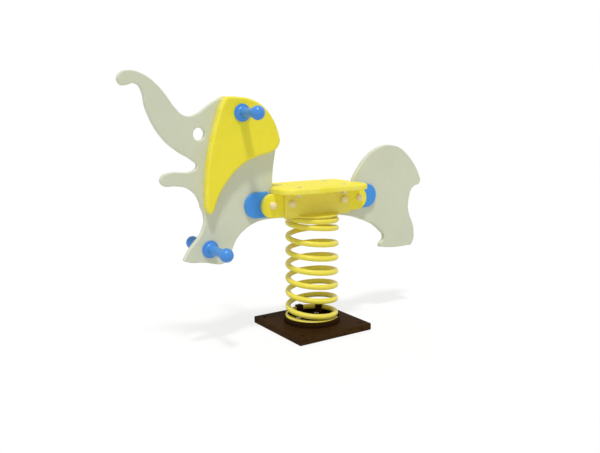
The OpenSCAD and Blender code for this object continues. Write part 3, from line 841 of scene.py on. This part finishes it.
def make_caps():
    """Domed bolt caps: a pocket for the nut, a seat ring, a straight skirt and a dome."""
    parts = []
    for low, high in islands("bolt_caps"):
        side = -1 if low.y + high.y < 0 else 1
        board = high.y if side < 0 else low.y
        radius, height = (high.x - low.x) / 2, high.y - low.y
        skirt, skirt_r = 0.5 * height, radius - 0.6 * MM
        pocket, depth, slope = radius - CAP_WALL, height - CAP_CROWN, 2 * MM
        profile = [(0, depth), (pocket - slope, depth), (pocket, depth - slope), (pocket, 0),
                   (radius - 0.3 * MM, 0), (radius, 0.4 * MM), (radius, 1.6 * MM), (skirt_r, 2.2 * MM)]
        for k in range(DOME_STEPS):
            a = math.pi / 2 * k / DOME_STEPS
            profile.append((skirt_r * math.cos(a), skirt + (height - skirt) * math.sin(a)))
        profile.append((0, height))
        foot = ((low.x + high.x) / 2, board, (low.z + high.z) / 2)
        parts.append(lathe(profile, foot, (0, side, 0), sides=40))
    mesh = plain_mesh("bolt_caps_moulded", parts, sharp=50)
    new_piece("bolt_caps_moulded", mesh, "cream_cap", "rider", "bolt_caps")


def socket_bolt(middle, top, bottom, head, shank):
    """A countersunk bolt with a six-sided socket in its head."""
    sides = 48
    flat, depth = 2.6 * MM, 3.2 * MM
    chamfer, edge = 0.8 * MM, 0.3 * MM
    length = top - bottom
    profile = [(0, 0), (shank - chamfer, 0), (shank, chamfer), (shank, length - (head - shank)),
               (head - edge, length - edge), (head - 0.5 * MM, length)]
    points, faces = lathe(profile, (middle[0], middle[1], bottom), (0, 0, 1), sides)
    rim = len(points) - sides
    centre = Vector((middle[0], middle[1], top))
    for level in (top, top - depth):
        for k in range(sides):
            spoke = (points[rim + k] - centre).normalized()
            a = math.atan2(spoke.y, spoke.x) % (math.pi / 3) - math.pi / 6
            place = centre + spoke * (flat / math.cos(a))
            points.append(Vector((place.x, place.y, level)))
    for k in range(sides):
        j = (k + 1) % sides
        upper, lower = rim + sides, rim + 2 * sides
        faces.append((rim + k, rim + j, upper + j, upper + k))
        faces.append((upper + k, upper + j, lower + j, lower + k))
    faces.append(tuple(range(rim + 2 * sides, rim + 3 * sides)))
    return points, faces


def make_seat_bolts():
    """The four bolts that hold the seat on its tabs."""
    parts = []
    for low, high in islands("seat_bolts"):
        middle = ((low.x + high.x) / 2, (low.y + high.y) / 2)
        parts.append(socket_bolt(middle, high.z, low.z, (high.x - low.x) / 2, SEAT_BOLT_SHANK))
    mesh = plain_mesh("seat_bolts_socket", parts, sharp=30)
    new_piece("seat_bolts_socket", mesh, "steel", "rider", "seat_bolts")


def make_welds():
    """Weld beads where the bracket's upright sides stand on the head plate."""
    plate_top = BASE_TOP + COIL_HEIGHT + 2 * COIL_GAP + BRACKET_STEEL
    steps, sides = 84, 10
    parts = []
    for side in (-1, 1):
        points, faces = [], []
        for i in range(steps + 1):
            x = -BEAD_REACH + 2 * BEAD_REACH * i / steps
            swell = BEAD * (1 + 0.12 * math.sin(i * 2.1) + 0.05 * math.sin(i * 0.83))
            end = min(1.0, 6 * min(i, steps - i) / steps + 0.15)
            for k in range(sides):
                a = 2 * math.pi * k / sides
                points.append(Vector((x, side * (BRACKET_FACE_Y + BEAD_SINK + swell * end * math.cos(a)),
                                      plate_top + BEAD_SINK + swell * end * math.sin(a))))
        for i in range(steps):
            lower, upper = i * sides, (i + 1) * sides
            for k in range(sides):
                j = (k + 1) % sides
                faces.append((lower + k, lower + j, upper + j, upper + k))
        faces.append(tuple(range(sides)))
        faces.append(tuple(range(steps * sides, (steps + 1) * sides)))
        parts.append((points, faces))
    new_piece("weld_beads", plain_mesh("weld_beads", parts, sharp=60), "yellow_paint", "rider")


# The part

def make_boards():
    """The panel, ears, cheeks, spacers and seat, and the ground plate with the stop for the wire's end."""
    rounded_board("panel_board", "body_panel", "rider", "pale_board", Y_AXIS, (PANEL_EDGE, PANEL_EDGE))
    for side, name in ((-1, "left"), (1, "right")):
        def faced(inner, outer):
            return (outer, inner) if side < 0 else (inner, outer)
        rounded_board(name + "_ear_board", name + "_ear", "rider", "yellow_board", Y_AXIS,
                      faced(EAR_BACK_EDGE, EAR_EDGE), side=side)
        rounded_board(name + "_cheek_board", name + "_cheek", "rider", "yellow_board", Y_AXIS,
                      faced(BOARD_BACK_EDGE, CHEEK_EDGE), side=side)
        rounded_board(name + "_spacer_board", name + "_spacer", "rider", "blue_board", Y_AXIS,
                      faced(BOARD_BACK_EDGE, SPACER_EDGE), side=side)
    rounded_board("seat_cut", "seat_board", "rider", "yellow_board", Z_AXIS,
                  (SEAT_UNDER_EDGE, SEAT_TOP_EDGE), corner=3 * MM, least_hole=0.012, side=1)
    rounded_board("ground_plate", "base_plate", "base", "dark_paint", Z_AXIS, (PLATE_EDGE, PLATE_EDGE),
                  corner=4 * MM, least_hole=0.008, side=-1, levels=(0, BASE_TOP))
    soften("wire_stop", "base_plate", "base", "dark_paint", 1.5 * MM, above=BASE_TOP)


def make_steelwork():
    """Bracket, collar, clips and their bolts with small bevels, and the hidden steel in its finish."""
    soften("bracket_folded", "saddle_bracket", "rider", "yellow_paint", 1.2 * MM)
    soften("upper_clips_pressed", "upper_clips", "rider", "yellow_paint", 0.8 * MM)
    soften("collar_turned", "spring_collar", "base", "dark_paint", 1.2 * MM)
    soften("lower_clips_pressed", "lower_clips", "base", "dark_paint", 0.8 * MM)
    soften("upper_clip_bolts_hex", "upper_clip_bolts", "rider", "steel", 0.6 * MM)
    soften("lower_clip_bolts_hex", "lower_clip_bolts", "base", "steel", 0.6 * MM)
    soften("seat_nuts_hex", "seat_nuts", "rider", "steel", 0.5 * MM)
    for node in ("ear_dowels", "handle_rod", "foot_rod", "frame_bolts", "frame_nuts", "frame_washers"):
        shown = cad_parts[node]
        shown.data.materials.clear()
        shown.data.materials.append(FINISHES["steel"])


# Studio

def looked_at(tree):
    """1 for rays that show the surround: straight from the camera, mirrored or through a clear piece."""
    paths = put(tree, "LightPath").outputs
    mirrored = calc(tree, "MAXIMUM", paths["Is Glossy Ray"], paths["Is Transmission Ray"])
    return calc(tree, "MAXIMUM", paths["Is Camera Ray"], mirrored)


def make_studio():
    """A pale floor, a soft sun from high behind the photograph's camera, and a white surround."""
    scene = bpy.context.scene
    bpy.ops.mesh.primitive_plane_add(size=40, location=(0, 0, FLOOR_LEVEL))
    floor = bpy.context.object
    floor.name = "floor"
    material, tree, output = new_material("floor_white")
    grain = use_group(tree, MOTTLE, Colour=FLOOR_TONE, Scale=3.0, Amount=0.004)["Colour"]
    shaded = put(tree, "BsdfDiffuse", {"Color": grain})
    glow = put(tree, "Emission", {"Color": WHITE, "Strength": FLOOR_GLOW})
    share = calc(tree, "MULTIPLY", looked_at(tree), FLOOR_GLOW_SHARE)
    lit = put(tree, "MixShader", {0: share, 1: shaded.outputs[0], 2: glow.outputs[0]})
    tree.links.new(lit.outputs[0], output.inputs["Surface"])
    floor.data.materials.append(material)

    world = bpy.data.worlds.new("white_room")
    scene.world = world
    world.use_nodes = True
    tree = world.node_tree
    tree.nodes.clear()
    ambient = put(tree, "Background", {"Color": WHITE, "Strength": AMBIENT})
    surround = put(tree, "Background", {"Color": WHITE, "Strength": 1.0})
    both = put(tree, "MixShader", {0: looked_at(tree), 1: ambient.outputs[0], 2: surround.outputs[0]})
    end = tree.nodes.new("ShaderNodeOutputWorld")
    tree.links.new(both.outputs[0], end.inputs["Surface"])

    key = bpy.data.lights.new("key", "SUN")
    key.energy = SUN_STRENGTH
    key.angle = math.radians(SUN_SPREAD)
    lamp = bpy.data.objects.new("key", key)
    scene.collection.objects.link(lamp)
    lamp.rotation_euler = Vector(SUN_DIRECTION).to_track_quat("-Z", "Y").to_euler()

    scene.view_settings.view_transform = "Standard"


def make_camera():
    """The photograph's viewpoint."""
    data = bpy.data.cameras.new("photo_camera")
    data.sensor_width = CAMERA_SENSOR
    data.lens = CAMERA_LENS
    camera = bpy.data.objects.new("photo_camera", data)
    bpy.context.scene.collection.objects.link(camera)
    camera.location = CAMERA_PLACE
    camera.rotation_euler = (math.radians(CAMERA_TILT), 0, math.radians(CAMERA_PAN))
    bpy.context.scene.camera = camera


make_camera()
make_boards()
make_coil()
make_grips()
make_caps()
make_seat_bolts()
make_steelwork()
make_welds()
make_studio()
